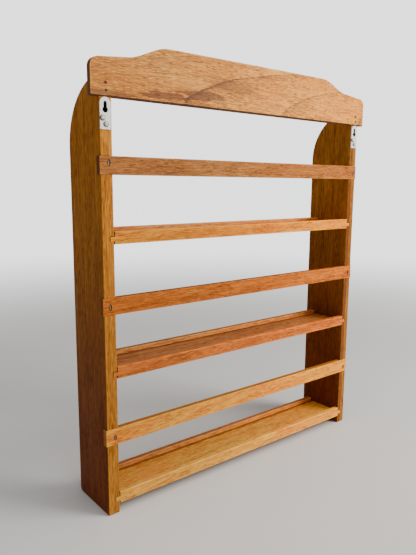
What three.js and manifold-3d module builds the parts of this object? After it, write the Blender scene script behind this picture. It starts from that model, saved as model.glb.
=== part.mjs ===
// Wall spice rack in oiled hardwood: two side panels, three lipped shelves housed in grooves,
// three thin rails and an ogee crest board let into the back edges, and two keyhole hanger plates.
//
// Millimetres, +Z up. The origin is under the middle of the rack, at the height of its feet.
// +Y is the back, the side that hangs against the wall, and +X is the right seen from the front.

import * as THREE from "three";
import { mergeVertices } from "three/addons/utils/BufferGeometryUtils.js";
import Module from "manifold-3d";

const wasm = await Module();
wasm.setup();

// ---------------------------------------------------------------- driving dimensions

const RACK_SPAN = 400; // outer face to outer face of the side panels

const PANEL_T = 13; // side panel thickness
const PANEL_DEPTH = 68; // front edge to back edge
const PANEL_TOP_LAND = 3; // flat left at the top behind the quarter round
const FOOT_FRONT_R = 5; // eased corner at the front of the foot
const FOOT_BACK_R = 2; // eased corner at the back of the foot

// Upwards from the feet.
const LOWEST_SHELF_Z = 10.8; // underside of the lowest shelf's lips
const SHELF_PITCH = 141.2; // shelf to shelf
const RAIL_ABOVE_SHELF = 68.8; // underside of a shelf's lips to the underside of its rail
const RAIL_H = 18.2;
const CREST_ABOVE_RAIL = 55; // top of the upper rail to the underside of the crest board
const CREST_LAP = 20.8; // height of the panel top behind the crest board

const SHELF_SETBACK = 9; // panel's front edge to the front lip
const SHELF_RISE = 3.2; // underside of the lips to the underside of the board
const BOARD_T = 4.4; // shelf board, and the tongues on the lips' ends
const LIP_T = 6.5; // lip strip thickness
const LIP_H = 13; // lip strip height
const LIP_ROUND = 0.8; // eased top arrises of a lip
const LIP_GROOVE = 2; // groove along each lip that takes the board's edge
const SHOULDER_GAP = { right: 1, left: 0.4 }; // lip's shoulder to each panel's inner face

const GROOVE_DEPTH = { right: 4.8, left: 5.6 }; // groove in each panel's inner face
const GROOVE_ROOM = 0.8; // room above a tongue in its groove
const GROOVE_STOP = 0.5; // front lip to the groove's stopped end
const TONGUE_GAP = { right: 0.8, left: 0.4 }; // tongue's end to the bottom of each groove

const RAIL_T = 6.5; // back rail thickness, all of it let into the panels
const RAIL_PROUD = 1.2; // rail's end past the panel's outer face
const NOTCH_ROOM = 0.2; // room above a rail in its notch

const CREST_T = 6.5; // crest board thickness
const CREST_PROUD = 1.5; // crest board's face past the panels' back edges
const CREST_OVERHANG = 9.5; // crest board's end past the panel's outer face
const CREST_H = 53.8; // height in the middle
const CREST_END_H = 26.8; // straight part of each end
const CREST_END_R = 9; // round corner above it
const CREST_SHOULDER_RUN = 43.5; // end to the foot of the ogee
const CREST_SHOULDER_RISE = 3.6; // climb of the shoulder from the round corner to the ogee
const CREST_OGEE_RUN = 46;
const CREST_BOW = 0.2; // middle of the top above the head of the ogee
const CREST_ARRIS = 1.8; // rounded lower arris on the back face

const PLATE_T = 1; // keyhole hanger plate
const PLATE_W = 11.4;
const PLATE_H = 30; // square below, fully round above
const PLATE_BELOW_CREST = 0.3; // gap between the plate and the crest board
const PLATE_SHIFT = 0.7; // both plates sit this far towards +X of the panel's middle
const KEYHOLE_D = 6; // round hole that passes a screw's head
const KEYHOLE_SLOT_W = 3.8; // slot for the screw's shank
const KEYHOLE_Z = 18.4; // middle of the round hole above the plate's lower edge
const KEYHOLE_TOP = 26.4; // end of the slot above the plate's lower edge
const POCKET_W = 7; // pocket in the panel behind the keyhole, for the screw's head
const POCKET_END = 1.7; // pocket past each end of the keyhole
const POCKET_DEPTH = 7;

const STAPLE_WIRE = 1.4;
const STAPLE_CROWN = 5.4; // outside width of the crown
const STAPLE_LEG = 16;
const STAPLE_SUNK = 0.4; // crown below the rail's face
const DENT_W = 3.6; // eye-shaped dent that driving a staple leaves in the rail
const DENT_H = 7;
const DENT_DEPTH = 0.9;

const BRAD_D = 1.2;
const BRAD_HEAD_D = 1.9;
const BRAD_HEAD_T = 0.8;
const BRAD_L = 18;
const BRAD_SUNK = 0.4; // head below the crest board's face

const HANGER_NAIL_D = 1.4;
const HANGER_HEAD_D = 4.2;
const HANGER_HEAD_T = 1.2;
const HANGER_NAIL_L = 13;

const DRIVEN_GAP = 0.05; // around a driven fastener

// The fasteners were driven by eye. Each is given as [towards +X, up]: staples from the middle
// of their joint, brads from the crest board's lower edge, nails from the plate's lower edge.
const STAPLE_PLACES = {
  upper: { right: [-2.4, 2.3], left: [-1.2, -1.8] },
  middle: { right: [-0.5, -0.5], left: [-0.5, -1.4] },
  lower: { right: [-2.9, -0.8], left: [-0.7, -2.2] },
};
const BRAD_PLACES = {
  upper: { right: [0.2, 13], left: [0.6, 11.6] },
  lower: { right: [-0.3, 5.8], left: [0, 5.2] },
};
const NAIL_PLACES = { upper: [2.8, 10.8], lower: [-0.7, 5.2] };

// ---------------------------------------------------------------- places that follow

const STAND_OFF = Math.max(CREST_PROUD, PLATE_T + HANGER_HEAD_T); // furthest back of the panels
const FRONT = -(PANEL_DEPTH + STAND_OFF) / 2; // panels' front edges
const BACK = FRONT + PANEL_DEPTH; // panels' back edges
const INNER_X = RACK_SPAN / 2 - PANEL_T; // panels' inner faces
const CREST_FACE = BACK + CREST_PROUD;

const LEVELS = ["lower", "middle", "upper"];
const shelfZ = (level) => LOWEST_SHELF_Z + LEVELS.indexOf(level) * SHELF_PITCH;
const railZ = (level) => shelfZ(level) + RAIL_ABOVE_SHELF;
const CREST_Z = railZ("upper") + RAIL_H + CREST_ABOVE_RAIL;
const PANEL_H = CREST_Z + CREST_LAP;
const PLATE_Z = CREST_Z - PLATE_BELOW_CREST - PLATE_H;

const LIP_FRONT = FRONT + SHELF_SETBACK;
const SHELF_DEPTH = BACK - LIP_FRONT;

const SIDES = { right: 1, left: -1 };
const panelX = (side) => SIDES[side] * (RACK_SPAN - PANEL_T) / 2; // middle of a panel's thickness
const plateX = (side) => panelX(side) + PLATE_SHIFT;

// ---------------------------------------------------------------- shaping helpers

const X = new THREE.Vector3(1, 0, 0);
const Y = new THREE.Vector3(0, 1, 0);
const Z = new THREE.Vector3(0, 0, 1);

// A shape drawn in (y, z), extruded along +X from x0 to x1.
function alongX(shape, x0, x1, curveSegments = 6) {
  const options = { depth: x1 - x0, bevelEnabled: false, curveSegments };
  const geometry = new THREE.ExtrudeGeometry(shape, options);
  return geometry.applyMatrix4(new THREE.Matrix4().makeBasis(Y, Z, X)).translate(x0, 0, 0);
}

// A shape drawn in (x, z), extruded from the back y1 towards the front y0.
function towardsFront(shape, y0, y1, curveSegments = 8) {
  const options = { depth: y1 - y0, bevelEnabled: false, curveSegments };
  const geometry = new THREE.ExtrudeGeometry(shape, options);
  const upright = new THREE.Matrix4().makeBasis(X, Z, Y.clone().negate());
  return geometry.applyMatrix4(upright).translate(0, y1, 0);
}

function box(x0, x1, y0, y1, z0, z1) {
  const geometry = new THREE.BoxGeometry(x1 - x0, y1 - y0, z1 - z0);
  return geometry.translate((x0 + x1) / 2, (y0 + y1) / 2, (z0 + z1) / 2);
}

// A box from depth `from` to depth `to` behind a panel's inner face, on either side.
function sideBox(side, from, to, y0, y1, z0, z1) {
  const ends = [SIDES[side] * (INNER_X + from), SIDES[side] * (INNER_X + to)];
  return box(Math.min(...ends), Math.max(...ends), y0, y1, z0, z1);
}

function toSolid(geometry) {
  const bare = geometry.clone();
  bare.deleteAttribute("normal");
  bare.deleteAttribute("uv");
  const merged = mergeVertices(bare, 1e-4);
  const vertProperties = new Float32Array(merged.attributes.position.array);
  const triVerts = new Uint32Array(merged.index.array);
  return new wasm.Manifold(new wasm.Mesh({ numProp: 3, vertProperties, triVerts }));
}

function toGeometry(solid) {
  const { vertProperties, triVerts } = solid.getMesh();
  const geometry = new THREE.BufferGeometry();
  geometry.setAttribute("position", new THREE.BufferAttribute(vertProperties, 3));
  geometry.setIndex(new THREE.BufferAttribute(triVerts, 1));
  geometry.computeVertexNormals();
  return geometry;
}

const cut = (blank, cutters) =>
  toGeometry(cutters.reduce((solid, cutter) => solid.subtract(toSolid(cutter)), toSolid(blank)));

const common = (a, b) => toGeometry(toSolid(a).intersect(toSolid(b)));

function piece(name, geometry, color, roughness = 0.5, metalness = 0) {
  const mesh = new THREE.Mesh(geometry, new THREE.MeshStandardMaterial({ color, roughness, metalness }));
  mesh.name = name;
  return mesh;
}

// ---------------------------------------------------------------- fasteners

// A round pin lying along -Y, with the underside of its head at y = 0 and a short point.
function pinProfile(headRim, headD, shankD, length) {
  const shank = [[0, -length], [shankD / 2, shankD - length], [shankD / 2, 0], [headD / 2, 0]];
  return [...shank, ...headRim].map(([r, y]) => new THREE.Vector2(r, y));
}

// Low dome over a head, from its rim to its middle.
function domeRim(headD, headT, steps = 4) {
  const angles = Array.from({ length: steps }, (_, k) => ((k + 1) / steps) * (Math.PI / 2));
  const rim = angles.map((a) => [(headD / 2) * Math.cos(a), headT * (0.25 + 0.75 * Math.sin(a))]);
  return [[headD / 2, headT * 0.25], ...rim.slice(0, -1), [0, headT]];
}

function hangerNail() {
  const rim = domeRim(HANGER_HEAD_D, HANGER_HEAD_T);
  return new THREE.LatheGeometry(pinProfile(rim, HANGER_HEAD_D, HANGER_NAIL_D, HANGER_NAIL_L), 16);
}

function hangerNailPlace(side, height) {
  const [across, up] = NAIL_PLACES[height];
  return [plateX(side) + across, BACK + PLATE_T, PLATE_Z + up];
}

function hangerNailHole(side, height) {
  const r = HANGER_NAIL_D / 2 + DRIVEN_GAP;
  const length = HANGER_NAIL_L + 2 * DRIVEN_GAP;
  const hole = new THREE.CylinderGeometry(r, r, length, 16);
  return hole.translate(0, DRIVEN_GAP - length / 2, 0).translate(...hangerNailPlace(side, height));
}

function brad() {
  const rim = [[BRAD_HEAD_D / 2, BRAD_HEAD_T], [0, BRAD_HEAD_T]];
  return new THREE.LatheGeometry(pinProfile(rim, BRAD_HEAD_D, BRAD_D, BRAD_L), 12);
}

function bradPlace(side, height) {
  const [across, up] = BRAD_PLACES[height][side];
  return [panelX(side) + across, CREST_FACE - BRAD_SUNK - BRAD_HEAD_T, CREST_Z + up];
}

// The shank's hole and the hole that the sunk head leaves in the face.
function bradHoles(side, height) {
  const shankR = BRAD_D / 2 + DRIVEN_GAP;
  const headR = BRAD_HEAD_D / 2 + DRIVEN_GAP;
  const length = BRAD_L + 2 * DRIVEN_GAP;
  const mouth = BRAD_HEAD_T + BRAD_SUNK + 1;
  const shank = new THREE.CylinderGeometry(shankR, shankR, length, 12);
  const head = new THREE.CylinderGeometry(headR, headR, mouth, 12);
  shank.translate(0, DRIVEN_GAP - length / 2, 0);
  head.translate(0, mouth / 2, 0);
  return [shank, head].map((hole) => hole.translate(...bradPlace(side, height)));
}

// A wire staple with an upright crown at y = 0 and legs along -Y, swollen by `grow` for its hole.
function staple(grow = 0, mouth = 0) {
  const crown = STAPLE_CROWN / 2 + grow;
  const between = STAPLE_CROWN / 2 - STAPLE_WIRE - grow;
  const ends = -STAPLE_LEG - grow;
  const outline = new THREE.Shape();
  outline.moveTo(ends, -crown);
  outline.lineTo(ends, -between);
  outline.lineTo(-STAPLE_WIRE - grow, -between);
  outline.lineTo(-STAPLE_WIRE - grow, between);
  outline.lineTo(ends, between);
  outline.lineTo(ends, crown);
  outline.lineTo(mouth, crown);
  outline.lineTo(mouth, -crown);
  return alongX(outline, -STAPLE_WIRE / 2 - grow, STAPLE_WIRE / 2 + grow);
}

function staplePlace(side, level) {
  const [across, up] = STAPLE_PLACES[level][side];
  return [panelX(side) + across, BACK - STAPLE_SUNK, railZ(level) + RAIL_H / 2 + up];
}

const stapleHole = (side, level) =>
  staple(DRIVEN_GAP, STAPLE_SUNK + 1).translate(...staplePlace(side, level));

// An upright eye-shaped dent in the rail's face, between two arcs that meet in points.
function stapleDent(side, level) {
  const radius = (DENT_W ** 2 + DENT_H ** 2) / (4 * DENT_W);
  const centre = radius - DENT_W / 2;
  const half = Math.asin(DENT_H / 2 / radius);
  const outline = new THREE.Shape();
  outline.absarc(-centre, 0, radius, -half, half, false);
  outline.absarc(centre, 0, radius, Math.PI - half, Math.PI + half, false);
  const [x, , z] = staplePlace(side, level);
  return towardsFront(outline, BACK - DENT_DEPTH, BACK + 1, 5).translate(x, 0, z);
}

// ---------------------------------------------------------------- side panels

function panelOutline() {
  const topR = PANEL_DEPTH - PANEL_TOP_LAND;
  const outline = new THREE.Shape();
  outline.absarc(BACK - FOOT_BACK_R, FOOT_BACK_R, FOOT_BACK_R, -Math.PI / 2, 0, false);
  outline.lineTo(BACK, PANEL_H);
  outline.absarc(FRONT + topR, PANEL_H - topR, topR, Math.PI / 2, Math.PI, false);
  outline.absarc(FRONT + FOOT_FRONT_R, FOOT_FRONT_R, FOOT_FRONT_R, Math.PI, 1.5 * Math.PI, false);
  return outline;
}

function shelfGroove(side, level) {
  const low = shelfZ(level) + SHELF_RISE;
  const high = low + BOARD_T + GROOVE_ROOM;
  return sideBox(side, -1, GROOVE_DEPTH[side], LIP_FRONT - GROOVE_STOP, BACK + 1, low, high);
}

function railNotch(side, level) {
  const low = railZ(level);
  return sideBox(side, -1, PANEL_T + 1, BACK - RAIL_T, BACK + 1, low, low + RAIL_H + NOTCH_ROOM);
}

function crestRebate(side) {
  return sideBox(side, -1, PANEL_T + 1, CREST_FACE - CREST_T, BACK + 1, CREST_Z, PANEL_H + 1);
}

// Round-ended pocket for a screw's head, behind the keyhole.
function keyholePocket(side) {
  const r = POCKET_W / 2;
  const low = PLATE_Z + KEYHOLE_Z - KEYHOLE_D / 2 - POCKET_END + r;
  const high = PLATE_Z + KEYHOLE_TOP + POCKET_END - r;
  const outline = new THREE.Shape();
  outline.absarc(plateX(side), high, r, 0, Math.PI, false);
  outline.absarc(plateX(side), low, r, Math.PI, 2 * Math.PI, false);
  return towardsFront(outline, BACK - POCKET_DEPTH, BACK + 1);
}

function sidePanel(side) {
  const outer = SIDES[side] * RACK_SPAN / 2;
  const inner = SIDES[side] * INNER_X;
  const blank = alongX(panelOutline(), Math.min(outer, inner), Math.max(outer, inner), 24);
  const cutters = [
    crestRebate(side),
    keyholePocket(side),
    ...LEVELS.flatMap((level) => [shelfGroove(side, level), railNotch(side, level)]),
    ...LEVELS.map((level) => stapleHole(side, level)),
    ...Object.keys(BRAD_PLACES).flatMap((height) => bradHoles(side, height)),
    ...Object.keys(NAIL_PLACES).map((height) => hangerNailHole(side, height)),
  ];
  return piece(`side_panel_${side}`, cut(blank, cutters), 0x8a5226);
}

// ---------------------------------------------------------------- crest board

// Flat top in the middle, an ogee down to a gently sloping shoulder, and a round corner.
function crestOutline() {
  const end = RACK_SPAN / 2 + CREST_OVERHANG;
  const ogeeFoot = end - CREST_SHOULDER_RUN;
  const ogeeHead = ogeeFoot - CREST_OGEE_RUN;
  const footH = CREST_END_H + CREST_END_R + CREST_SHOULDER_RISE;
  const headH = CREST_H - CREST_BOW;
  const slope = Math.atan2(CREST_SHOULDER_RISE, CREST_SHOULDER_RUN - CREST_END_R);
  const lead = CREST_OGEE_RUN * 0.35;
  const footLead = footH + lead * 0.15;
  const outline = new THREE.Shape();
  outline.moveTo(-end, 0);
  outline.lineTo(end, 0);
  outline.absarc(end - CREST_END_R, CREST_END_H, CREST_END_R, 0, Math.PI / 2 - slope, false);
  outline.lineTo(ogeeFoot, footH);
  outline.bezierCurveTo(ogeeFoot - lead, footLead, ogeeHead + lead, headH, ogeeHead, headH);
  outline.quadraticCurveTo(0, CREST_H + CREST_BOW, -ogeeHead, headH);
  outline.bezierCurveTo(-ogeeHead - lead, headH, -ogeeFoot + lead, footLead, -ogeeFoot, footH);
  outline.absarc(CREST_END_R - end, CREST_END_H, CREST_END_R, Math.PI / 2 + slope, Math.PI, false);
  return outline;
}

// Section of the board with its rounded lower arris at the back.
function crestSection() {
  const outline = new THREE.Shape();
  outline.moveTo(CREST_FACE - CREST_T, 0);
  outline.lineTo(CREST_FACE - CREST_ARRIS, 0);
  outline.absarc(CREST_FACE - CREST_ARRIS, CREST_ARRIS, CREST_ARRIS, -Math.PI / 2, 0, false);
  outline.lineTo(CREST_FACE, CREST_H + 1);
  outline.lineTo(CREST_FACE - CREST_T, CREST_H + 1);
  return outline;
}

function crestBoard() {
  const end = RACK_SPAN / 2 + CREST_OVERHANG + 1;
  const outlined = towardsFront(crestOutline(), CREST_FACE - CREST_T - 1, CREST_FACE + 1, 14);
  const blank = common(outlined, alongX(crestSection(), -end, end)).translate(0, 0, CREST_Z);
  const holes = Object.keys(SIDES).flatMap((side) =>
    Object.keys(BRAD_PLACES).flatMap((height) => bradHoles(side, height))
  );
  return piece("crest_board", cut(blank, holes), 0xc8905a);
}

// ---------------------------------------------------------------- back rails

const RAIL_COLORS = { upper: 0xb0744a, middle: 0xb87432, lower: 0xc88a48 };

function backRail(level) {
  const end = RACK_SPAN / 2 + RAIL_PROUD;
  const blank = box(-end, end, BACK - RAIL_T, BACK, railZ(level), railZ(level) + RAIL_H);
  const holes = Object.keys(SIDES).flatMap((side) => [stapleHole(side, level), stapleDent(side, level)]);
  return piece(`back_rail_${level}`, cut(blank, holes), RAIL_COLORS[level]);
}

// ---------------------------------------------------------------- shelves

// Each shelf is drawn with the underside of its lips at z = 0 and its front lip's face at y = 0.
const SHOULDERS = [SHOULDER_GAP.left - INNER_X, INNER_X - SHOULDER_GAP.right];
const reach = (side) => INNER_X + GROOVE_DEPTH[side] - TONGUE_GAP[side];
const TONGUE_ENDS = [-reach("left"), reach("right")];
const BOARD_TOP = SHELF_RISE + BOARD_T;

function lipSection(y0) {
  const y1 = y0 + LIP_T;
  const outline = new THREE.Shape();
  outline.moveTo(y0, 0);
  outline.lineTo(y1, 0);
  outline.absarc(y1 - LIP_ROUND, LIP_H - LIP_ROUND, LIP_ROUND, 0, Math.PI / 2, false);
  outline.absarc(y0 + LIP_ROUND, LIP_H - LIP_ROUND, LIP_ROUND, Math.PI / 2, Math.PI, false);
  return outline;
}

// A lip with a tongue on each end and a groove for the board's edge, from `groove0` to `groove1`.
function lip(y0, groove0, groove1) {
  const [left, right] = TONGUE_ENDS;
  const blank = alongX(lipSection(y0), left, right);
  const beyond = [[left - 1, SHOULDERS[0]], [SHOULDERS[1], right + 1]];
  const waste = beyond.flatMap(([x0, x1]) => [
    box(x0, x1, y0 - 1, y0 + LIP_T + 1, -1, SHELF_RISE),
    box(x0, x1, y0 - 1, y0 + LIP_T + 1, BOARD_TOP, LIP_H + 1),
  ]);
  return cut(blank, [...waste, box(left - 1, right + 1, groove0, groove1, SHELF_RISE, BOARD_TOP)]);
}

function shelf(level) {
  const backLip = SHELF_DEPTH - LIP_T;
  const boardFront = LIP_T - LIP_GROOVE;
  const boardBack = backLip + LIP_GROOVE;
  const board = box(...TONGUE_ENDS, boardFront, boardBack, SHELF_RISE, BOARD_TOP);
  const group = new THREE.Group();
  group.position.set(0, LIP_FRONT, shelfZ(level));
  group.add(
    piece(`shelf_board_${level}`, board, 0xb98038),
    piece(`shelf_front_lip_${level}`, lip(0, boardFront, LIP_T + 1), 0xc08050),
    piece(`shelf_back_lip_${level}`, lip(backLip, backLip - 1, boardBack), 0xd08848)
  );
  return group;
}

// ---------------------------------------------------------------- keyhole hangers

function keyhole() {
  const slotR = KEYHOLE_SLOT_W / 2;
  const holeR = KEYHOLE_D / 2;
  const half = Math.asin(slotR / holeR);
  const outline = new THREE.Path();
  outline.absarc(0, KEYHOLE_TOP - slotR, slotR, 0, Math.PI, false);
  outline.absarc(0, KEYHOLE_Z, holeR, Math.PI / 2 + half, 2.5 * Math.PI - half, false);
  return outline;
}

function hangerPlate(side) {
  const r = PLATE_W / 2;
  const outline = new THREE.Shape();
  outline.moveTo(-r, 0);
  outline.lineTo(r, 0);
  outline.absarc(0, PLATE_H - r, r, 0, Math.PI, false);
  outline.holes.push(keyhole());
  const blank = towardsFront(outline, BACK, BACK + PLATE_T, 10).translate(plateX(side), 0, PLATE_Z);
  return cut(blank, Object.keys(NAIL_PLACES).map((height) => hangerNailHole(side, height)));
}

// ---------------------------------------------------------------- assembly

function driven(name, geometry, place, ...finish) {
  const mesh = piece(name, geometry, ...finish);
  mesh.position.set(...place);
  return mesh;
}

const STAPLE_FINISH = [0xb4b4b0, 0.35, 1];
const BRAD_FINISH = [0x4a4038, 0.5, 1];
const NAIL_FINISH = [0xe6e0c8, 0.4, 0];

const rack = new THREE.Group();
rack.add(crestBoard());
for (const level of LEVELS) {
  rack.add(shelf(level), backRail(level));
}
for (const side of Object.keys(SIDES)) {
  rack.add(sidePanel(side), piece(`hanger_plate_${side}`, hangerPlate(side), 0xf4f2e6, 0.35));
  for (const height of Object.keys(NAIL_PLACES)) {
    const place = hangerNailPlace(side, height);
    rack.add(driven(`hanger_nail_${side}_${height}`, hangerNail(), place, ...NAIL_FINISH));
  }
  for (const height of Object.keys(BRAD_PLACES)) {
    rack.add(driven(`crest_brad_${side}_${height}`, brad(), bradPlace(side, height), ...BRAD_FINISH));
  }
  for (const level of LEVELS) {
    rack.add(driven(`rail_staple_${level}_${side}`, staple(), staplePlace(side, level), ...STAPLE_FINISH));
  }
}

export default rack;
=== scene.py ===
# %% [markdown]
# # A wall spice rack in oiled hardwood
# The rack is made of thin boards: two side panels with a quarter-round top, three shelves with a low lip
# along both edges, three flat rails and a shaped crest board across the back, and two white keyhole
# plates that it hangs on. This lesson takes the measured model of those parts, softens its edges as
# sandpaper and years of use do, and gives each part wood with a grain of its own.

# %% Load the measured model
import math
import bmesh
import bpy
from mathutils import Matrix, Vector


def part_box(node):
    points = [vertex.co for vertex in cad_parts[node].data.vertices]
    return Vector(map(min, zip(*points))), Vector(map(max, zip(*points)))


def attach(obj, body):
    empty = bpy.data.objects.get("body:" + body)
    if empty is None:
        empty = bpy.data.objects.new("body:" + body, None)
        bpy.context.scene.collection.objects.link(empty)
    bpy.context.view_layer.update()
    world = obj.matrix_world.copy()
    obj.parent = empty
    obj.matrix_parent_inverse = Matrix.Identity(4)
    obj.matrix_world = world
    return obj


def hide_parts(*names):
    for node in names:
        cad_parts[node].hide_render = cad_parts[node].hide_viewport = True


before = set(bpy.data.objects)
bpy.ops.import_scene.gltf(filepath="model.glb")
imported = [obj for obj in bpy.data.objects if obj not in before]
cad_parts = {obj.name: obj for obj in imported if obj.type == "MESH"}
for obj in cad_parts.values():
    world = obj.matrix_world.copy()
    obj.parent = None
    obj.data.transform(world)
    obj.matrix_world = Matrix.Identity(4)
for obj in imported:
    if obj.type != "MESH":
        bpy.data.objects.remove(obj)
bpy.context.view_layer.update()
MM = 0.001
SIDES = ("right", "left")
LEVELS = ("lower", "middle", "upper")

# %% [markdown]
# ## Reading places from the model
# Every size that the looks need, such as where a panel's back edge is, comes from the box of a part of
# the model. Nothing is measured twice, so the looks follow the model when it changes.

# %% Boxes of the main parts
crest_low, crest_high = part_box("crest_board")
panel_low, panel_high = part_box("side_panel_right")
plate_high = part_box("hanger_plate_right")[1]
FRONT, BACK = panel_low.y, panel_high.y
INNER_X, OUTER_X = panel_low.x, panel_high.x
CREST_Z = crest_low.z
print("panel faces", round(INNER_X, 4), round(OUTER_X, 4))
print("back edge", round(BACK, 4), "crest foot", round(CREST_Z, 4))


def near(a, b, room=0.02 * MM):
    """Whether two places along an axis are the same, apart from rounding."""
    return abs(a - b) < room


# %% [markdown]
# ## A piece from a part of the model
# The model's parts have razor-sharp edges, which no sanded board has. Each wooden piece starts as a copy
# of its part. The flat faces, which the model splits into triangles, are joined into one face each, and
# the long edges get a bevel of under a millimetre. A rule says which edges are arrises that a hand and
# sandpaper reach: the edges of grooves and nail holes stay crisp. The piece then takes its part's place
# on the rack's one body. Nothing on the rack moves.

# %% Copy a part
FLAT_WITHIN = math.radians(0.4)


def copy_part(node):
    """A new piece in the shape of one part of the model, with flat faces made whole."""
    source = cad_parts[node]
    mesh = bpy.data.meshes.new(node + "_piece")
    bm = bmesh.new()
    bm.from_mesh(source.data)
    bm.transform(source.matrix_world)
    bmesh.ops.remove_doubles(bm, verts=bm.verts, dist=1e-6)
    bmesh.ops.dissolve_limit(bm, angle_limit=FLAT_WITHIN, verts=bm.verts, edges=bm.edges)
    bm.to_mesh(mesh)
    bm.free()
    if "custom_normal" in mesh.attributes:
        mesh.attributes.remove(mesh.attributes["custom_normal"])
    mesh.materials.clear()
    piece = bpy.data.objects.new(node + "_piece", mesh)
    place(piece, node)
    return piece


def place(piece, node):
    """Puts a piece in the scene, in place of one part of the model."""
    bpy.context.scene.collection.objects.link(piece)
    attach(piece, "root")
    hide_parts(node)


print("parts to copy", len(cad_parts))

# %% Soften its arrises
CREASE = math.radians(25)


def soften(piece, width, is_arris):
    """Rounds the edges that is_arris picks, from the places of an edge's two ends."""
    mesh = piece.data
    bm = bmesh.new()
    bm.from_mesh(mesh)
    weight = bm.edges.layers.float.new("bevel_weight_edge")
    count = 0
    for edge in bm.edges:
        if len(edge.link_faces) == 2 and edge.calc_face_angle(0) > CREASE:
            if is_arris(*(v.co for v in edge.verts)):
                edge[weight] = 1
                count += 1
    bm.to_mesh(mesh)
    bm.free()
    mesh.polygons.foreach_set("use_smooth", [True] * len(mesh.polygons))
    mesh.set_sharp_from_angle(angle=CREASE)
    bevel = piece.modifiers.new("sanded arris", "BEVEL")
    bevel.limit_method = "WEIGHT"
    bevel.width = width
    bevel.segments = 3
    bevel.harden_normals = True
    print(piece.name, "softened edges", count)


def box_arris(piece):
    """The rule for a strip of wood: edges that lie along the edges of its own box."""
    corners = [Vector(c) for c in piece.bound_box]
    low, high = corners[0], corners[6]

    def rule(a, b):
        alike = [i for i in range(3) if near(a[i], b[i])]
        on_box = [i for i in alike if near(a[i], low[i]) or near(a[i], high[i])]
        return len(on_box) == 2

    return rule


def no_arris(a, b):
    """The rule for a small metal part, which keeps its edges and only gets smooth shading."""
    return False


# %% [markdown]
# ## Tools for node trees
# Materials are built from many small nodes. Short helpers keep that readable: they set or link a socket,
# do a sum on numbers or on places, mix two colours, and give the noise that most of a board's figure
# comes from. Shared effects go into node groups with named sockets, so a material reads as a short list.

# %% Sums and mixes
def plug(tree, value, socket):
    """Links another node's output to a socket, or sets a plain value on it."""
    if isinstance(value, bpy.types.NodeSocket):
        tree.links.new(value, socket)
    else:
        socket.default_value = value


def calc(tree, operation, *values, clamp=False):
    """One sum on plain numbers."""
    node = tree.nodes.new("ShaderNodeMath")
    node.operation = operation
    node.use_clamp = clamp
    for value, socket in zip(values, node.inputs):
        plug(tree, value, socket)
    return node.outputs["Value"]


def vector_calc(tree, operation, *values):
    """One sum on places or directions. A length comes out of the socket Value."""
    node = tree.nodes.new("ShaderNodeVectorMath")
    node.operation = operation
    for value, socket in zip(values, node.inputs):
        plug(tree, value, socket)
    return node.outputs


def axes_of(tree, vector):
    """The X, Y and Z of a place or a direction."""
    node = tree.nodes.new("ShaderNodeSeparateXYZ")
    tree.links.new(vector, node.inputs[0])
    return node.outputs


def blend(tree, amount, under, over, mode="MIX"):
    """Lays one colour over another."""
    node = tree.nodes.new("ShaderNodeMix")
    node.data_type = "RGBA"
    node.blend_type = mode
    factor, colour_a, colour_b, mixed = node.inputs[0], node.inputs[6], node.inputs[7], node.outputs[2]
    for value, socket in ((amount, factor), (under, colour_a), (over, colour_b)):
        plug(tree, value, socket)
    return mixed


def ramp(tree, value, start, end, to_min=0.0, to_max=1.0):
    """Goes smoothly from to_min to to_max as the value goes from start to end."""
    node = tree.nodes.new("ShaderNodeMapRange")
    node.interpolation_type = "SMOOTHSTEP"
    sockets = ("Value", "From Min", "From Max", "To Min", "To Max")
    for given, name in zip((value, start, end, to_min, to_max), sockets):
        plug(tree, given, node.inputs[name])
    return node.outputs["Result"]


def noise(tree, position, stretch, detail=2.0, roughness=0.5, distortion=0.0):
    """Noise with a different grain size along each axis, given in grains per metre."""
    scaled = vector_calc(tree, "MULTIPLY", position, stretch)["Vector"]
    node = tree.nodes.new("ShaderNodeTexNoise")
    tree.links.new(scaled, node.inputs["Vector"])
    node.inputs["Scale"].default_value = 1
    node.inputs["Detail"].default_value = detail
    node.inputs["Roughness"].default_value = roughness
    node.inputs["Distortion"].default_value = distortion
    return node.outputs["Fac"]


print("helpers for node trees are ready")


# %% Groups and materials
VALUE, VECTOR = "NodeSocketFloat", "NodeSocketVector"


def new_group(name, inputs, outputs):
    """A node group's tree, and the sockets of its input and output nodes, by their names."""
    tree = bpy.data.node_groups.new(name, "ShaderNodeTree")
    for title, kind in inputs:
        tree.interface.new_socket(title, in_out="INPUT", socket_type=kind)
    for title, kind in outputs:
        tree.interface.new_socket(title, in_out="OUTPUT", socket_type=kind)
    return tree, tree.nodes.new("NodeGroupInput").outputs, tree.nodes.new("NodeGroupOutput").inputs


def use_group(tree, group, **values):
    """Places a group in a material, with its sockets set by their names."""
    node = tree.nodes.new("ShaderNodeGroup")
    node.node_tree = group
    for name, value in values.items():
        plug(tree, value, node.inputs[name.replace("_", " ")])
    return node.outputs


def new_material(name):
    """A material, its tree, and the shader that the tree starts with."""
    material = bpy.data.materials.new(name)
    material.use_nodes = True
    return material, material.node_tree, material.node_tree.nodes["Principled BSDF"]


def finish_with(piece, material):
    """Gives the whole of a piece one material."""
    piece.data.materials.append(material)


def mix_shaders(tree, amount, first, second):
    """Goes from the first shader to the second as the amount goes from 0 to 1."""
    node = tree.nodes.new("ShaderNodeMixShader")
    for source, socket in zip((amount, first, second), node.inputs):
        tree.links.new(source, socket)
    return node.outputs[0]


print("sockets for groups are", VALUE, "and", VECTOR)


# %% Colours
def colour(red, green, blue):
    """A colour as it is mixed on a screen, turned into the share of light that a surface sends back."""

    def light(level):
        share = level / 255
        return share / 12.92 if share <= 0.04045 else ((share + 0.055) / 1.055) ** 2.4

    return (light(red), light(green), light(blue), 1.0)


print("mid grey sends back", round(colour(128, 128, 128)[0], 3))

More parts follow.
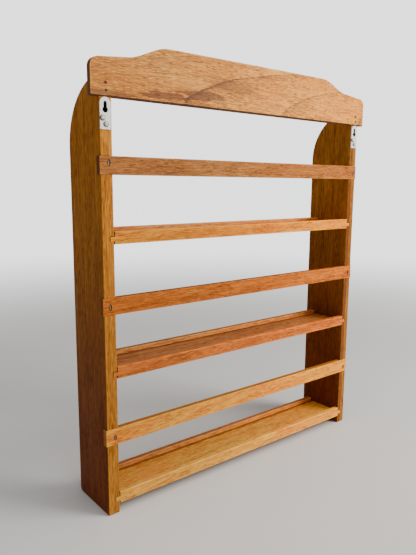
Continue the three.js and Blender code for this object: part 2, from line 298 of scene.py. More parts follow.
# %% [markdown]
# ## Growth rings
# A board is a flat cut through a tree's yearly rings. Where the cut runs along the rings, they show as
# straight lines. Where it grazes them, they show as nested arches, as on the crest board. The group
# counts rings at a place in the board: so many per metre along it, across it and through it, plus a
# curve across it that bends the lines into arches. What is left after the whole rings is where in its
# year the wood grew: pale in spring, and a thin dark line where the year ends. No two years are alike,
# so each whole number also draws how strong its line is.

# %% Growth ring group
def make_rings():
    tree, given, out = new_group(
        "growth rings",
        [("Position", VECTOR), ("Along", VALUE), ("Across", VALUE), ("Through", VALUE),
         ("Curve", VALUE), ("Start", VALUE), ("Wander", VALUE), ("Seed", VALUE)],
        [("Season", VALUE), ("Year Line", VALUE)],
    )
    x, y, z = axes_of(tree, given["Position"])
    count = calc(tree, "MULTIPLY_ADD", x, given["Along"], given["Start"])
    count = calc(tree, "MULTIPLY_ADD", z, given["Across"], count)
    count = calc(tree, "MULTIPLY_ADD", y, given["Through"], count)
    count = calc(tree, "MULTIPLY_ADD", calc(tree, "MULTIPLY", z, z), given["Curve"], count)
    drift = calc(tree, "SUBTRACT", noise(tree, given["Position"], (5, 45, 45), detail=3), 0.5)
    count = calc(tree, "MULTIPLY_ADD", drift, given["Wander"], count)

    season = calc(tree, "FRACT", count)
    plug(tree, season, out["Season"])
    year = tree.nodes.new("ShaderNodeTexWhiteNoise")
    year.noise_dimensions = "1D"
    tree.links.new(calc(tree, "ADD", calc(tree, "FLOOR", count), given["Seed"]), year.inputs["W"])
    # The wood darkens slowly, then quickly, up to the end of the year, and the next year starts pale.
    shade = calc(tree, "MULTIPLY", ramp(tree, season, 0.66, 0.95), 0.35)
    line = calc(tree, "MULTIPLY", ramp(tree, season, 0.92, 0.975), 0.65)
    close = ramp(tree, season, 0.975, 1.0, 1.0, 0.0)
    line = calc(tree, "MULTIPLY", calc(tree, "ADD", shade, line), close)
    breaks = noise(tree, given["Position"], (30, 200, 200), detail=3)
    broken = ramp(tree, breaks, 0.30, 0.60, 0.6, 1.0)
    line = calc(tree, "MULTIPLY", line, broken)
    strength = calc(tree, "POWER", year.outputs["Value"], 0.6)
    plug(tree, calc(tree, "MULTIPLY", line, strength), out["Year Line"])
    return tree


growth_rings = make_rings()
print("growth rings", len(growth_rings.nodes), "nodes")

# %% [markdown]
# ## Fibres, pores and flecks
# This hardwood has coarse open pores: a saw cut opens them as short dark dashes along the grain. Between
# them run finer streaks, light and dark, and short pale flecks that catch the light. Whole patches of a
# board are redder or yellower. All are noise stretched along the board, at different sizes. Where the
# fibres dive in and out of the surface, the streaks are cut short: that is the group's shortness. Pores
# are also tiny hollows, so they go to the bump as well as to the colour.

# %% Fibre group
def make_fibres():
    tree, given, out = new_group(
        "fibres and pores",
        [("Position", VECTOR), ("Shortness", VALUE)],
        [("Streak", VALUE), ("Pores", VALUE), ("Flecks", VALUE), ("Patch", VALUE),
         ("Height", VALUE)],
    )
    x, y, z = axes_of(tree, given["Position"])
    joined = tree.nodes.new("ShaderNodeCombineXYZ")
    for value, socket in zip((calc(tree, "MULTIPLY", x, given["Shortness"]), y, z), joined.inputs):
        tree.links.new(value, socket)
    position = joined.outputs[0]

    # Streaks of three widths, then the pores, which are more crowded here and there.
    wide = noise(tree, position, (12, 170, 170), detail=4, roughness=0.6, distortion=0.2)
    fine = noise(tree, position, (32, 800, 800), detail=3, roughness=0.65)
    hair = noise(tree, position, (18, 2300, 2300), detail=1)
    streak = calc(tree, "MULTIPLY_ADD", fine, 0.45, calc(tree, "MULTIPLY", wide, 0.35))
    streak = calc(tree, "MULTIPLY_ADD", hair, 0.2, streak)
    plug(tree, ramp(tree, streak, 0.42, 0.58), out["Streak"])
    dashes = noise(tree, position, (72, 1350, 1350), detail=1, roughness=0.4)
    crowd = noise(tree, position, (14, 60, 60), detail=1)
    crowded = ramp(tree, crowd, 0.30, 0.60, 0.3, 1.0)
    pores = calc(tree, "MULTIPLY", ramp(tree, dashes, 0.54, 0.64), crowded)
    plug(tree, pores, out["Pores"])
    glints = noise(tree, position, (85, 900, 900), detail=2, roughness=0.5, distortion=0.1)
    plug(tree, ramp(tree, glints, 0.53, 0.66), out["Flecks"])
    patches = noise(tree, position, (6, 26, 26), detail=3)
    plug(tree, ramp(tree, patches, 0.34, 0.66), out["Patch"])
    height = calc(tree, "MULTIPLY_ADD", pores, -0.8, calc(tree, "MULTIPLY", streak, 0.35))
    plug(tree, height, out["Height"])
    return tree


fibres = make_fibres()
print("fibres", len(fibres.nodes), "nodes")

# %% [markdown]
# ## Worn arrises
# The edges of a handled board are rubbed: the finish is thinner there and the wood paler and brighter.
# On a straight strip the group needs only the strip's middle and half size. The distance from a place on
# the surface to the nearest edge is the second smallest of its distances to the strip's three pairs of
# faces. Noise breaks the worn line up.

# %% Wear group
def make_wear():
    tree, given, out = new_group(
        "worn arris",
        [("Position", VECTOR), ("Middle", VECTOR), ("Half Size", VECTOR), ("Reach", VALUE)],
        [("Wear", VALUE)],
    )
    offset = vector_calc(tree, "SUBTRACT", given["Position"], given["Middle"])["Vector"]
    from_middle = vector_calc(tree, "ABSOLUTE", offset)["Vector"]
    to_faces = vector_calc(tree, "SUBTRACT", given["Half Size"], from_middle)["Vector"]
    x, y, z = axes_of(tree, to_faces)
    # The middle one of the three distances comes from sorting two and fitting in the third.
    low = calc(tree, "MINIMUM", x, y)
    high = calc(tree, "MAXIMUM", x, y)
    second = calc(tree, "MAXIMUM", low, calc(tree, "MINIMUM", high, z))
    rough = noise(tree, given["Position"], (60, 160, 160), detail=3)
    reach = calc(tree, "MULTIPLY", given["Reach"], ramp(tree, rough, 0.3, 0.75, 0.2, 1.8))
    share = calc(tree, "DIVIDE", second, reach)
    plug(tree, ramp(tree, share, 0.0, 1.0, 1.0, 0.0), out["Wear"])
    return tree


worn_arris = make_wear()
print("wear", len(worn_arris.nodes), "nodes")

# %% [markdown]
# ## Stains and painted shade
# Small dark places tell a used thing from a new one, such as a smear in the wood. The same clouds also
# paint shade: in the dent round a staple, and as a shadow round a nail's head. Each is an egg-shaped
# cloud round a middle, with a ragged edge from noise. A material can hold several, one after another.

# %% Stain and shade group
def make_stain_and_shade():
    tree, given, out = new_group(
        "stain",
        [("Position", VECTOR), ("Middle", VECTOR), ("Half Size", VECTOR), ("Ragged", VALUE)],
        [("Stain", VALUE)],
    )
    offset = vector_calc(tree, "SUBTRACT", given["Position"], given["Middle"])["Vector"]
    share = vector_calc(tree, "DIVIDE", offset, given["Half Size"])["Vector"]
    distance = vector_calc(tree, "LENGTH", share)["Value"]
    rough = noise(tree, given["Position"], (60, 300, 480), detail=3, roughness=0.7)
    drift = calc(tree, "SUBTRACT", rough, 0.5)
    reach = calc(tree, "MULTIPLY_ADD", drift, given["Ragged"], distance)
    plug(tree, ramp(tree, reach, 0.72, 1.03, 1.0, 0.0), out["Stain"])
    return tree


stain_and_shade_group = make_stain_and_shade()
print("stain", len(stain_and_shade_group.nodes), "nodes")


# %% Lay stains and painted shade over a colour
def lay_stains_and_shade(tree, position, ground, stains_and_shade):
    """Lays stains and painted shade over a colour. Each is its middle, half size, raggedness, colour and
    strength.
    """
    for middle, half_size, ragged, tint, strength in stains_and_shade:
        cloud = use_group(
            tree, stain_and_shade_group, Position=position, Middle=middle, Half_Size=half_size, Ragged=ragged)
        ground = blend(tree, calc(tree, "MULTIPLY", cloud["Stain"], strength), ground, tint)
    return ground


# %% [markdown]
# ## The tones of a board
# All boards had the same oil, so the tones of a board follow from its middle tone by the same steps:
# paler, deeper, redder, and so on. A board then needs only one colour of its own.

# %% Tones from one colour
PALEST = 0.9


def tones_of(middle, **own):
    """A board's tones by name. A tone can be given its own colour instead of the usual step."""

    def step(red, green, blue):
        return tuple(min(c * k, PALEST) for c, k in zip(middle, (red, green, blue))) + (1.0,)

    tones = dict(
        pale=step(1.55, 1.6, 1.5), deep=step(0.64, 0.56, 0.45), red=step(0.90, 0.64, 0.5),
        line=step(0.28, 0.19, 0.12), fleck=step(1.75, 1.9, 1.7))
    return {**tones, **own}


for tone, value in tones_of(colour(200, 130, 60)).items():
    print("a middling board's", tone, [round(v, 3) for v in value[:3]])


# %% [markdown]
# ## Oiled wood
# One function makes the finish of any board, so that all boards are of one kind of wood and each still
# has its own colours and figure. Colours go on in the order in which wood gets them: the pale ground, a
# deeper tone by season and streak, a redder patch here and there, the dark year lines, the pores and the
# flecks. Then comes what time did: the arrises are rubbed. Then painted light brightens one end of a
# board or the top of a panel, and painted shade with a painted red-brown reflection darkens the panels'
# feet. End grain and some tops are dark, and undersides get painted shade. The oil film is thin, so its
# gloss is soft, with no thick lacquer; the gloss is tinted warm, a painted reflection of warm
# surroundings.
#
# A board's own settings are: its rings per metre along, across and through the board, and their bend;
# where the count of rings starts, how far it wanders and which years are strong; where in the log the
# board was cut; how short its fibres are; how much it has of each mark; where its painted light starts
# and ends; and how rough and how shiny it is.

# %% What sets one board apart from another
GRAIN_UPRIGHT = (0.0, math.radians(90), 0.0)
GRAIN_LEVEL = (0.0, 0.0, 0.0)
WEAR_REACH = 2.0 * MM
PORE_DEPTH = 0.3 * MM
# Painted reflection: the gloss is tinted warm, as if it mirrored warm brown surroundings.
WARM_REFLECTION_TINT = (1.0, 0.74, 0.46, 1.0)
# Painted light: one end of a board, or the top of a panel, is brightened as if more light fell there.
PAINTED_LIGHT_TINT = (1.85, 1.6, 0.85, 1.0)
# Painted shade with a painted red-brown reflection, darker towards the panels' feet.
PAINTED_FOOT_SHADE = (0.42, 0.2, 0.05, 1.0)
FIGURE = dict(
    rings=(5, 60, 60, 0), start=0.0, wander=1.8, seed=3.0, shift=(0, 0, 0),
    shortness=1.8, season=0.3, patch=0.5, lines=0.45, pores=0.6, flecks=0.45,
    worn=0.4, sun=(0.25, -0.35), sunned=0.5, dregs=0.0, dusty_top=0.0,
    roughness=0.46, shine=0.22)
print("each board has", len(FIGURE), "settings of its own")


# %% Figure, age, and painted light and shade, laid on in order
def grain_colour(tree, ring, fibre, wear, tones, figure):
    """The wood's own colour, from the pale ground to the rubbed arrises."""
    streaks = calc(tree, "MULTIPLY", fibre["Streak"], 1 - figure["season"])
    depth = calc(tree, "MULTIPLY_ADD", ring["Season"], figure["season"], streaks)
    wood = blend(tree, depth, tones["pale"], tones["deep"])
    for mask, setting, tone in (
        (fibre["Patch"], "patch", "red"),
        (ring["Year Line"], "lines", "line"),
        (fibre["Flecks"], "flecks", "fleck"),
        (fibre["Pores"], "pores", "line"),
        (wear, "worn", "fleck"),
    ):
        wood = blend(tree, calc(tree, "MULTIPLY", mask, figure[setting]), wood, tones[tone])
    return wood


def painted_light_and_shade(tree, wood, position, normal, upright, figure):
    """Painted light brightens one end, and painted shade with a red-brown reflection darkens the panels'
    feet.
    """
    axes = axes_of(tree, position)
    # painted light, brighter towards one end
    sun = ramp(tree, axes["Z" if upright else "X"], *figure["sun"], 0.0, figure["sunned"])
    wood = blend(tree, sun, wood, PAINTED_LIGHT_TINT, "MULTIPLY")
    if not figure["dregs"]:
        return wood
    # painted shade and reflection on the broad faces, darker and redder towards the foot
    on_broad_face = ramp(tree, calc(tree, "ABSOLUTE", normal["X"]), 0.7, 0.95)
    low_down = ramp(tree, axes["Z"], 0.40, 0.04, 0.0, figure["dregs"])
    return blend(tree, calc(tree, "MULTIPLY", on_broad_face, low_down), wood, PAINTED_FOOT_SHADE, "MULTIPLY")


def darkened(tree, wood, normal, upright, tones, figure):
    """End grain, darker tops, and painted shade on undersides."""
    end_on = calc(tree, "ABSOLUTE", normal["Z" if upright else "X"])
    underside = calc(tree, "MULTIPLY", normal["Z"], -1.0)
    for mask in (
        ramp(tree, end_on, 0.75, 0.97, 0.0, 0.8),
        # tops made darker
        ramp(tree, normal["Z"], 0.6, 0.95, 0.0, figure["dusty_top"]),
        # faces turned down get painted shade
        ramp(tree, underside, 0.15, 0.85, 0.0, 0.8),
    ):
        wood = blend(tree, mask, wood, tones["line"])
    return wood


# %% Oiled wood material
def oiled_wood(name, tones, box, upright=False, stains_and_shade=(), **own_figure):
    """The finish of one board. The box is the board's own, and says where its arrises are."""
    figure = {**FIGURE, **own_figure}
    material, tree, shader = new_material(name)
    coordinates = tree.nodes.new("ShaderNodeTexCoord")
    position = coordinates.outputs["Object"]
    normal = axes_of(tree, coordinates.outputs["Normal"])
    turned = tree.nodes.new("ShaderNodeMapping")
    turned.inputs["Rotation"].default_value = GRAIN_UPRIGHT if upright else GRAIN_LEVEL
    turned.inputs["Location"].default_value = figure["shift"]
    tree.links.new(position, turned.inputs["Vector"])
    along, across, through, curve = figure["rings"]
    ring = use_group(
        tree, growth_rings, Position=turned.outputs[0], Along=along, Across=across, Through=through,
        Curve=curve, Start=figure["start"], Wander=figure["wander"], Seed=figure["seed"])
    fibre = use_group(tree, fibres, Position=turned.outputs[0], Shortness=figure["shortness"])
    low, high = box
    wear = use_group(
        tree, worn_arris, Position=position, Middle=(low + high) / 2, Half_Size=(high - low) / 2,
        Reach=WEAR_REACH)["Wear"]

    wood = grain_colour(tree, ring, fibre, wear, tones, figure)
    wood = painted_light_and_shade(tree, wood, position, normal, upright, figure)
    wood = lay_stains_and_shade(tree, position, wood, stains_and_shade)
    wood = darkened(tree, wood, normal, upright, tones, figure)
    tree.links.new(wood, shader.inputs["Base Color"])

    rough = calc(tree, "MULTIPLY_ADD", fibre["Pores"], 0.25, figure["roughness"])
    rough = calc(tree, "MULTIPLY_ADD", fibre["Patch"], 0.08, rough, clamp=True)
    tree.links.new(rough, shader.inputs["Roughness"])
    shader.inputs["Specular IOR Level"].default_value = figure["shine"]
    shader.inputs["Specular Tint"].default_value = WARM_REFLECTION_TINT
    bump = tree.nodes.new("ShaderNodeBump")
    bump.inputs["Strength"].default_value = 0.45
    bump.inputs["Distance"].default_value = PORE_DEPTH
    tree.links.new(fibre["Height"], bump.inputs["Height"])
    tree.links.new(bump.outputs[0], shader.inputs["Normal"])
    return material


# %% [markdown]
# ## Where the staples sit
# Each rail is held by one staple at each end, driven into an eye-shaped dent. Painted shade makes the
# dent nearly black.

# %% Painted shade round a staple
SHADE_BROWN = colour(34, 20, 12)
BLACK_SHADE = colour(9, 6, 5)


def staple_dent_shade(side, level):
    """Painted shade in the dent round one staple, a little larger than the eye shape in the wood."""
    middle = sum(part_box(f"rail_staple_{level}_{side}"), Vector()) / 2
    # painted shade in the dent
    return (Vector((middle.x, BACK, middle.z)), Vector((2.2, 3, 3.9)) * MM, 0.8, SHADE_BROWN, 0.6)


print("staple stains at height", [round(staple_dent_shade("right", level)[0].z, 3) for level in LEVELS])

# %% [markdown]
# ## Side panels
# Each panel is a half-inch board with upright grain. Its top front corner is cut to a large quarter
# round, and its foot is eased. Both faces and both long edges were sanded together, so the whole outline
# is soft, while the grooves and notches that the other parts sit in stay sharp. The rule for the
# arrises follows the outline: the two straight edges, the round and the foot. The figure is quiet, with
# narrow bands up the panel. Painted shade and a painted red-brown reflection darken the broad faces
# towards the foot, and painted light brightens the right panel towards its top.

# %% The panel's rounded edges
FLAT_TOP = 3 * MM  # behind the round
TOP_R = BACK - FRONT - FLAT_TOP
FOOT_HEIGHT = 6 * MM  # the eased corners of the foot are below this
FOOT_FRONT, FOOT_BACK = 6 * MM, 3 * MM  # and this near to its front and back


def panel_arris(a, b):
    """Edges of the panel's outline, on its inner or outer face."""
    on_face = near(a.x, b.x) and (near(abs(a.x), INNER_X) or near(abs(a.x), OUTER_X))

    def outline(p):
        ahead = FRONT + TOP_R - p.y
        above = p.z - (panel_high.z - TOP_R)
        on_round = ahead > 0 and above > 0 and near(math.hypot(ahead, above), TOP_R, 0.1 * MM)
        foot = p.z < FOOT_HEIGHT and (p.y < FRONT + FOOT_FRONT or p.y > BACK - FOOT_BACK)
        return on_round or foot or near(p.y, FRONT) or near(p.y, BACK) or near(p.z, 0)

    return on_face and outline(a) and outline(b)


print("panel's round", round(TOP_R, 4))

# %% Side panels
PANEL_TONES = tones_of(colour(163, 106, 40))
PINK_WOOD = colour(112, 52, 30)


def panel_stains_and_shade(side):
    """Painted shade in the staples' dents and the pocket behind the keyhole, and pinker wood on one back
    edge.
    """
    dents = [staple_dent_shade(side, level) for level in LEVELS]
    low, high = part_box("hanger_plate_" + side)
    keyhole = Vector(((low.x + high.x) / 2, BACK - 4 * MM, high.z - 10 * MM))
    # painted shade in the pocket behind the keyhole
    dents.append((keyhole, Vector((5.2, 7, 11)) * MM, 0.2, BLACK_SHADE, 1.0))
    if side == "left":
        stripe = Vector((-INNER_X - 3 * MM, BACK, 0.2))
        dents.append((stripe, Vector((3.4 * MM, 1 * MM, 0.3)), 1.2, PINK_WOOD, 0.75))
    return dents


for side, shift, sunned in (("right", (0, 0.31, 0.02), 0.3), ("left", (0.4, 0.87, 0.05), 0.0)):
    name = "side_panel_" + side
    panel = copy_part(name)
    soften(panel, 0.7 * MM, panel_arris)
    finish_with(panel, oiled_wood(
        side + " panel wood", PANEL_TONES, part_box(name), upright=True, stains_and_shade=panel_stains_and_shade(side),
        rings=(1.2, 40, 60, 0), shift=shift, season=0.3, lines=0.5, shortness=1.2, flecks=0.45,
        sun=(0.1, 0.45), sunned=sunned, dregs=0.95, shine=0.08))

# %% [markdown]
# ## Crest board
# The crest board is one flat-cut board, and its arches are the most striking figure on the rack. The
# year lines are about 150 mm apart along the board and bend towards its left end as they near the top.
# Purplish smears run along its lower arris, which is already rounded in the model and faces down, so it
# gets painted shade. The brads' heads sit in rings of dust.

# %% Crest board's edges and stains
BRADS = [(side, height) for side in SIDES for height in ("upper", "lower")]
BRAD_PLACES = [sum(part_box(f"crest_brad_{side}_{height}"), Vector()) / 2 for side, height in BRADS]
HOLE_ROOM = 3 * MM
SMEAR = colour(96, 52, 46)


def crest_arris(a, b):
    """Edges of the outline on the two broad faces, away from the brads."""
    at_hole = any(math.hypot(a.x - brad.x, a.z - brad.z) < HOLE_ROOM for brad in BRAD_PLACES)
    return near(a.y, b.y) and not at_hole


def crest_stains_and_shade():
    """Dust round the brads, painted shade along the lower arris, and purplish smears above it."""
    found = []
    for brad in BRAD_PLACES:
        head = Vector((brad.x, crest_high.y, brad.z))
        found.append((head, Vector((2.2, 2, 1.9)) * MM, 0.9, SMEAR, 0.8))
    # painted shade along the lower arris, which faces down
    lower_arris = Vector((0, crest_high.y, CREST_Z))
    found.append((lower_arris, Vector((0.4, 4 * MM, 1.9 * MM)), 0.2, SHADE_BROWN, 0.9))
    for x, z, half_length, half_height, strength in (
        (126, 8, 36, 5, 0.75),
        (75, 12, 34, 6, 0.7),
        (30, 26, 40, 9, 0.45),
        (190, 4, 30, 3, 0.6),
    ):
        middle = Vector((x * MM, crest_high.y, CREST_Z + z * MM))
        half_size = Vector((half_length, 4, half_height)) * MM
        found.append((middle, half_size, 2.4, SMEAR, strength))
    return found


print("stains on the crest board", len(crest_stains_and_shade()))

# %% Crest board
CREST_TONES = tones_of(colour(205, 135, 65), line=colour(84, 52, 44))
YEAR = 0.15  # metres along the board from one year line to the next
FIRST_LINE = 0.102  # where the first of them meets the lower arris
BEND = 400  # how much the lines lean over with height, in years per square metre
crest = copy_part("crest_board")
soften(crest, 0.6 * MM, crest_arris)
finish_with(crest, oiled_wood(
    "crest wood", CREST_TONES, (crest_low, crest_high), stains_and_shade=crest_stains_and_shade(),
    shift=(0, -crest_high.y, -CREST_Z), rings=(1 / YEAR, 0, 40, BEND), start=-FIRST_LINE / YEAR,
    wander=0.22, seed=1723.0, shortness=1.7, season=0.15, patch=0.5, lines=1.0, flecks=0.65,
    sun=(0.2, -0.2), sunned=0.6))

# %% [markdown]
# ## Back rails
# Three thin strips, planed square, let in flush with the panels' back edges. They were cut from
# different boards: the upper one is duller, the middle one redder and the lower one paler. Their top
# edges are darker.

# %% Back rails
RAIL_MIDDLE = {
    "upper": colour(158, 100, 50),
    "middle": colour(173, 94, 26),
    "lower": colour(238, 143, 52),
}
for index, level in enumerate(LEVELS):
    name = "back_rail_" + level
    rail = copy_part(name)
    soften(rail, 0.5 * MM, box_arris(rail))
    finish_with(rail, oiled_wood(
        level + " rail wood", tones_of(RAIL_MIDDLE[level]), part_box(name),
        stains_and_shade=[staple_dent_shade(side, level) for side in SIDES], rings=(7, 60, 60, 0),
        shift=(0.3 * index, 0.1 * index, 0), start=0.3 * index, seed=20.0 + index, dusty_top=0.7,
        sun=(0.15, -0.2), sunned=0.6))

# %% [markdown]
# ## Shelves
# A shelf is a thin board with a lip glued along each long edge. The lips have a rounded top and stand
# five millimetres above the board, enough to stop a jar. The boards are duller than the lips, with
# painted shade along the foot of each lip, where it stands above the board. Each board and lip has a
# middle tone of its own, as the boards were cut from different planks.

# %% Tones and dust of the shelves
BOARD_MIDDLE = {
    "upper": colour(206, 138, 56),
    "middle": colour(166, 104, 58),
    "lower": colour(240, 150, 60),
}
BACK_LIP_MIDDLE = {
    "upper": colour(220, 127, 33),
    "middle": colour(182, 100, 40),
    "lower": colour(237, 151, 62),
}
FRONT_LIP_MIDDLE = colour(216, 132, 72)
LIP_FOOT_SHADE = colour(92, 54, 26)


def board_lip_shade(box):
    """Painted shade along the foot of each lip, where it stands above the board."""
    low, high = box
    lines = []
    # painted shade along the foot of each lip
    for y, half_width in ((low.y + 2 * MM, 6 * MM), (high.y - 2 * MM, 8 * MM)):
        lines.append((Vector((0, y, high.z)), Vector((0.3, half_width, 2 * MM)), 1.2, LIP_FOOT_SHADE, 0.75))
    return lines


print("shelf tones for", ", ".join(BOARD_MIDDLE))

# %% Shelves
for index, level in enumerate(LEVELS):
    shift = (0.23 + 0.37 * index, 0.4 + 0.2 * index, 0)
    name = "shelf_board_" + level
    board = copy_part(name)
    soften(board, 0.2 * MM, box_arris(board))
    finish_with(board, oiled_wood(
        level + " board wood", tones_of(BOARD_MIDDLE[level]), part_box(name),
        stains_and_shade=board_lip_shade(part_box(name)), rings=(4, 0, 40, 0), shift=shift,
        season=0.2, lines=0.3, worn=0.0, roughness=0.52))
    for which, middle, dust in (("back", BACK_LIP_MIDDLE[level], 0.0), ("front", FRONT_LIP_MIDDLE, 0.55)):
        name = f"shelf_{which}_lip_{level}"
        lip = copy_part(name)
        soften(lip, 0.4 * MM, box_arris(lip))
        finish_with(lip, oiled_wood(
            f"{level} {which} lip wood", tones_of(middle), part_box(name), rings=(5, 70, 60, 0),
            shift=shift, start=0.2 * index, seed=40.0 + index, worn=0.7, dusty_top=dust,
            sun=(0.15, -0.15), sunned=0.6))

# %% [markdown]
# ## Enamel and wire
# The keyhole plates are pressed steel dipped in white enamel, which has yellowed in spots, with painted
# shadow round their nails. The nail heads have a creamier paint, worn to the metal's brown in places. The
# staples are bare steel wire, dulled by years in the wood, and the brads are sunk and nearly black. All
# are one ground colour with spots of a second one, which are also rougher.

# %% Metal materials
def metal(name, ground, spot, amount, roughness, metallic=0.0, grains_per_metre=900, stains_and_shade=()):
    """A metal or its paint: a ground colour, and spots of another that dull it."""
    material, tree, shader = new_material(name)
    position = tree.nodes.new("ShaderNodeTexCoord").outputs["Object"]
    grains = noise(tree, position, (grains_per_metre,) * 3, detail=3, roughness=0.65)
    spots = ramp(tree, grains, 0.46, 0.72)
    surface = blend(tree, calc(tree, "MULTIPLY", spots, amount), ground, spot)
    tree.links.new(lay_stains_and_shade(tree, position, surface, stains_and_shade), shader.inputs["Base Color"])
    tree.links.new(calc(tree, "MULTIPLY_ADD", spots, 0.25, roughness), shader.inputs["Roughness"])
    shader.inputs["Metallic"].default_value = metallic
    return material


nail_paint = metal(
    "cream nail paint", colour(232, 226, 204), colour(120, 104, 80), amount=0.7, roughness=0.35)
wire_steel = metal(
    "staple wire", colour(128, 122, 114), colour(60, 48, 38), amount=0.9, roughness=0.5, metallic=0.8)
dark_steel = metal(
    "sunk brad steel", colour(60, 50, 42), colour(36, 26, 20), amount=0.8, roughness=0.55, metallic=0.8)
print("metals", nail_paint.name, wire_steel.name, dark_steel.name)


# %% Plate enamel
def plate_enamel(side):
    """White enamel with painted shadow round the two nail heads, most of it on the side away from the
    light.
    """
    rings = []
    for height in ("upper", "lower"):
        middle = sum(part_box(f"hanger_nail_{side}_{height}"), Vector()) / 2
        # offset away from the light, as the painted shadow of the nail's head
        centre = Vector((middle.x + 0.3 * MM, plate_high.y, middle.z - 0.3 * MM))
        rings.append((centre, Vector((3.5, 3, 3.2)) * MM, 0.5, BLACK_SHADE, 1.0))
    return metal(
        side + " plate enamel", colour(250, 249, 244), colour(222, 214, 192), amount=0.35,
        roughness=0.26, grains_per_metre=420, stains_and_shade=rings)


print("plate face at", round(plate_high.y, 4))

# %% [markdown]
# ## Hangers and fasteners
# These small parts keep the model's shape. The plates' outer edges and the staples are rounded a little,
# because enamel and drawn wire have no sharp edges. The heads of the nails and brads are already round
# in the model, so these only get smooth shading.

# %% Hangers and fasteners
def plate_arris(a, b):
    """Edges of the plate's outer face, with those of its keyhole."""
    return near(a.y, b.y) and near(a.y, plate_high.y)


for side in SIDES:
    plate = copy_part("hanger_plate_" + side)
    soften(plate, 0.2 * MM, plate_arris)
    finish_with(plate, plate_enamel(side))
    for height in ("upper", "lower"):
        nail = copy_part(f"hanger_nail_{side}_{height}")
        soften(nail, 0.05 * MM, no_arris)
        finish_with(nail, nail_paint)
        brad = copy_part(f"crest_brad_{side}_{height}")
        soften(brad, 0.05 * MM, no_arris)
        finish_with(brad, dark_steel)
    for level in LEVELS:
        staple = copy_part(f"rail_staple_{level}_{side}")
        soften(staple, 0.25 * MM, box_arris(staple))
        finish_with(staple, wire_steel)

# %% [markdown]
# ## Floor, light and camera
# The rack stands on a plain pale floor, in a pale room. One large soft light stands behind the rack, off
# its left end, as a window would, so the right panel's outer face, which is nearest the camera, is in
# shade. A weaker one hangs overhead, and a dim sky fills the shadows. Further out the floor melts into
# the walls, as in a studio, so no horizon cuts across the view. The camera looks at the rack's back,
# from its right end and a little from above.

# %% Floor
WALL_COLOUR = colour(236, 237, 238)
WALL_BRIGHTNESS = 2.6
FLOOR_RADIUS = 12
FLOOR_FADES = (0.5, 2.4)  # metres from the rack's middle, where the floor starts and ends to fade
floor_mesh = bpy.data.meshes.new("floor")
floor_bm = bmesh.new()
bmesh.ops.create_circle(floor_bm, cap_ends=True, radius=FLOOR_RADIUS, segments=64)
floor_bm.to_mesh(floor_mesh)
floor_bm.free()
floor = bpy.data.objects.new("floor", floor_mesh)
bpy.context.scene.collection.objects.link(floor)
floor_material, floor_tree, floor_shader = new_material("pale floor")
floor_shader.inputs["Base Color"].default_value = colour(232, 230, 226)
floor_shader.inputs["Roughness"].default_value = 0.7
far_glow = floor_tree.nodes.new("ShaderNodeEmission")
far_glow.inputs["Color"].default_value = WALL_COLOUR
far_glow.inputs["Strength"].default_value = WALL_BRIGHTNESS
floor_place = floor_tree.nodes.new("ShaderNodeTexCoord").outputs["Object"]
from_middle = vector_calc(floor_tree, "LENGTH", floor_place)["Value"]
seen_directly = floor_tree.nodes.new("ShaderNodeLightPath").outputs["Is Camera Ray"]
fade = calc(floor_tree, "MULTIPLY", ramp(floor_tree, from_middle, *FLOOR_FADES), seen_directly)
melted = mix_shaders(floor_tree, fade, floor_shader.outputs[0], far_glow.outputs[0])
floor_tree.links.new(melted, floor_tree.nodes["Material Output"].inputs["Surface"])
finish_with(floor, floor_material)
print("floor fades from", FLOOR_FADES[0], "to", FLOOR_FADES[1], "m")

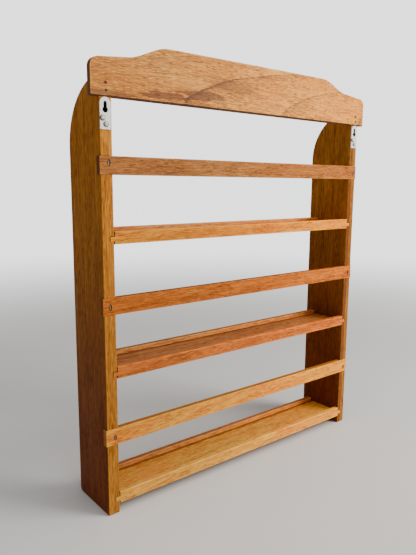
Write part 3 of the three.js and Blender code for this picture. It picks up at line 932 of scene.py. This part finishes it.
# %% Walls
# The room's walls look bright, but most of their light is kept off the rack, so that its shaded faces
# stay dark.
SHADOW_FILL = 0.38
world = bpy.data.worlds.new("pale room")
bpy.context.scene.world = world
world.use_nodes = True
sky = world.node_tree
fill = sky.nodes["Background"]
fill.inputs["Color"].default_value = colour(226, 228, 230)
fill.inputs["Strength"].default_value = SHADOW_FILL
walls = sky.nodes.new("ShaderNodeBackground")
walls.inputs["Color"].default_value = WALL_COLOUR
walls.inputs["Strength"].default_value = WALL_BRIGHTNESS
seen = sky.nodes.new("ShaderNodeLightPath").outputs["Is Camera Ray"]
room = mix_shaders(sky, seen, fill.outputs[0], walls.outputs[0])
sky.links.new(room, sky.nodes["World Output"].inputs["Surface"])
print("walls", WALL_BRIGHTNESS, "fill", SHADOW_FILL)

# %% Lights
LIGHTS_AIM_AT = Vector((0, 0, 0.22))


def soft_light(name, at, size, power, tint):
    """A square lamp that faces the middle of the rack."""
    data = bpy.data.lights.new(name, "AREA")
    data.size = size
    data.energy = power
    data.color = tint
    lamp = bpy.data.objects.new(name, data)
    lamp.location = at
    lamp.rotation_euler = (LIGHTS_AIM_AT - Vector(at)).to_track_quat("-Z", "Y").to_euler()
    bpy.context.scene.collection.objects.link(lamp)
    return lamp


window = soft_light("window", (-1.0, 1.15, 0.95), 0.8, 27, (1.0, 0.97, 0.92))
ceiling = soft_light("ceiling", (-0.1, 0.55, 1.7), 1.3, 14, (1.0, 0.98, 0.95))
print("lights at", [[round(v, 2) for v in lamp.location] for lamp in (window, ceiling)])

# %% Camera
VIEW_FROM = Vector((0.46003, 0.52088, 0.35298))
AZIMUTH, DOWN, ROLL = (math.radians(v) for v in (141.072, 9.539, 0.397))
SENSOR, LENS = 36, 35.782  # millimetres, as on a camera's own scale
level_ahead = Vector((-math.sin(AZIMUTH), math.cos(AZIMUTH), 0))
ahead = math.cos(DOWN) * level_ahead - Vector((0, 0, math.sin(DOWN)))
level_right = ahead.cross(Vector((0, 0, 1))).normalized()
level_up = level_right.cross(ahead)
right = math.cos(ROLL) * level_right + math.sin(ROLL) * level_up
up = math.cos(ROLL) * level_up - math.sin(ROLL) * level_right
facing = Matrix((right, up, -ahead)).transposed().to_4x4()
camera = bpy.data.objects.new("camera", bpy.data.cameras.new("camera"))
camera.matrix_world = Matrix.Translation(VIEW_FROM) @ facing
camera.data.sensor_width = SENSOR
camera.data.lens = LENS
camera.data.clip_start = 0.01
bpy.context.scene.collection.objects.link(camera)
bpy.context.scene.camera = camera
print("camera looks along", [round(v, 3) for v in ahead])
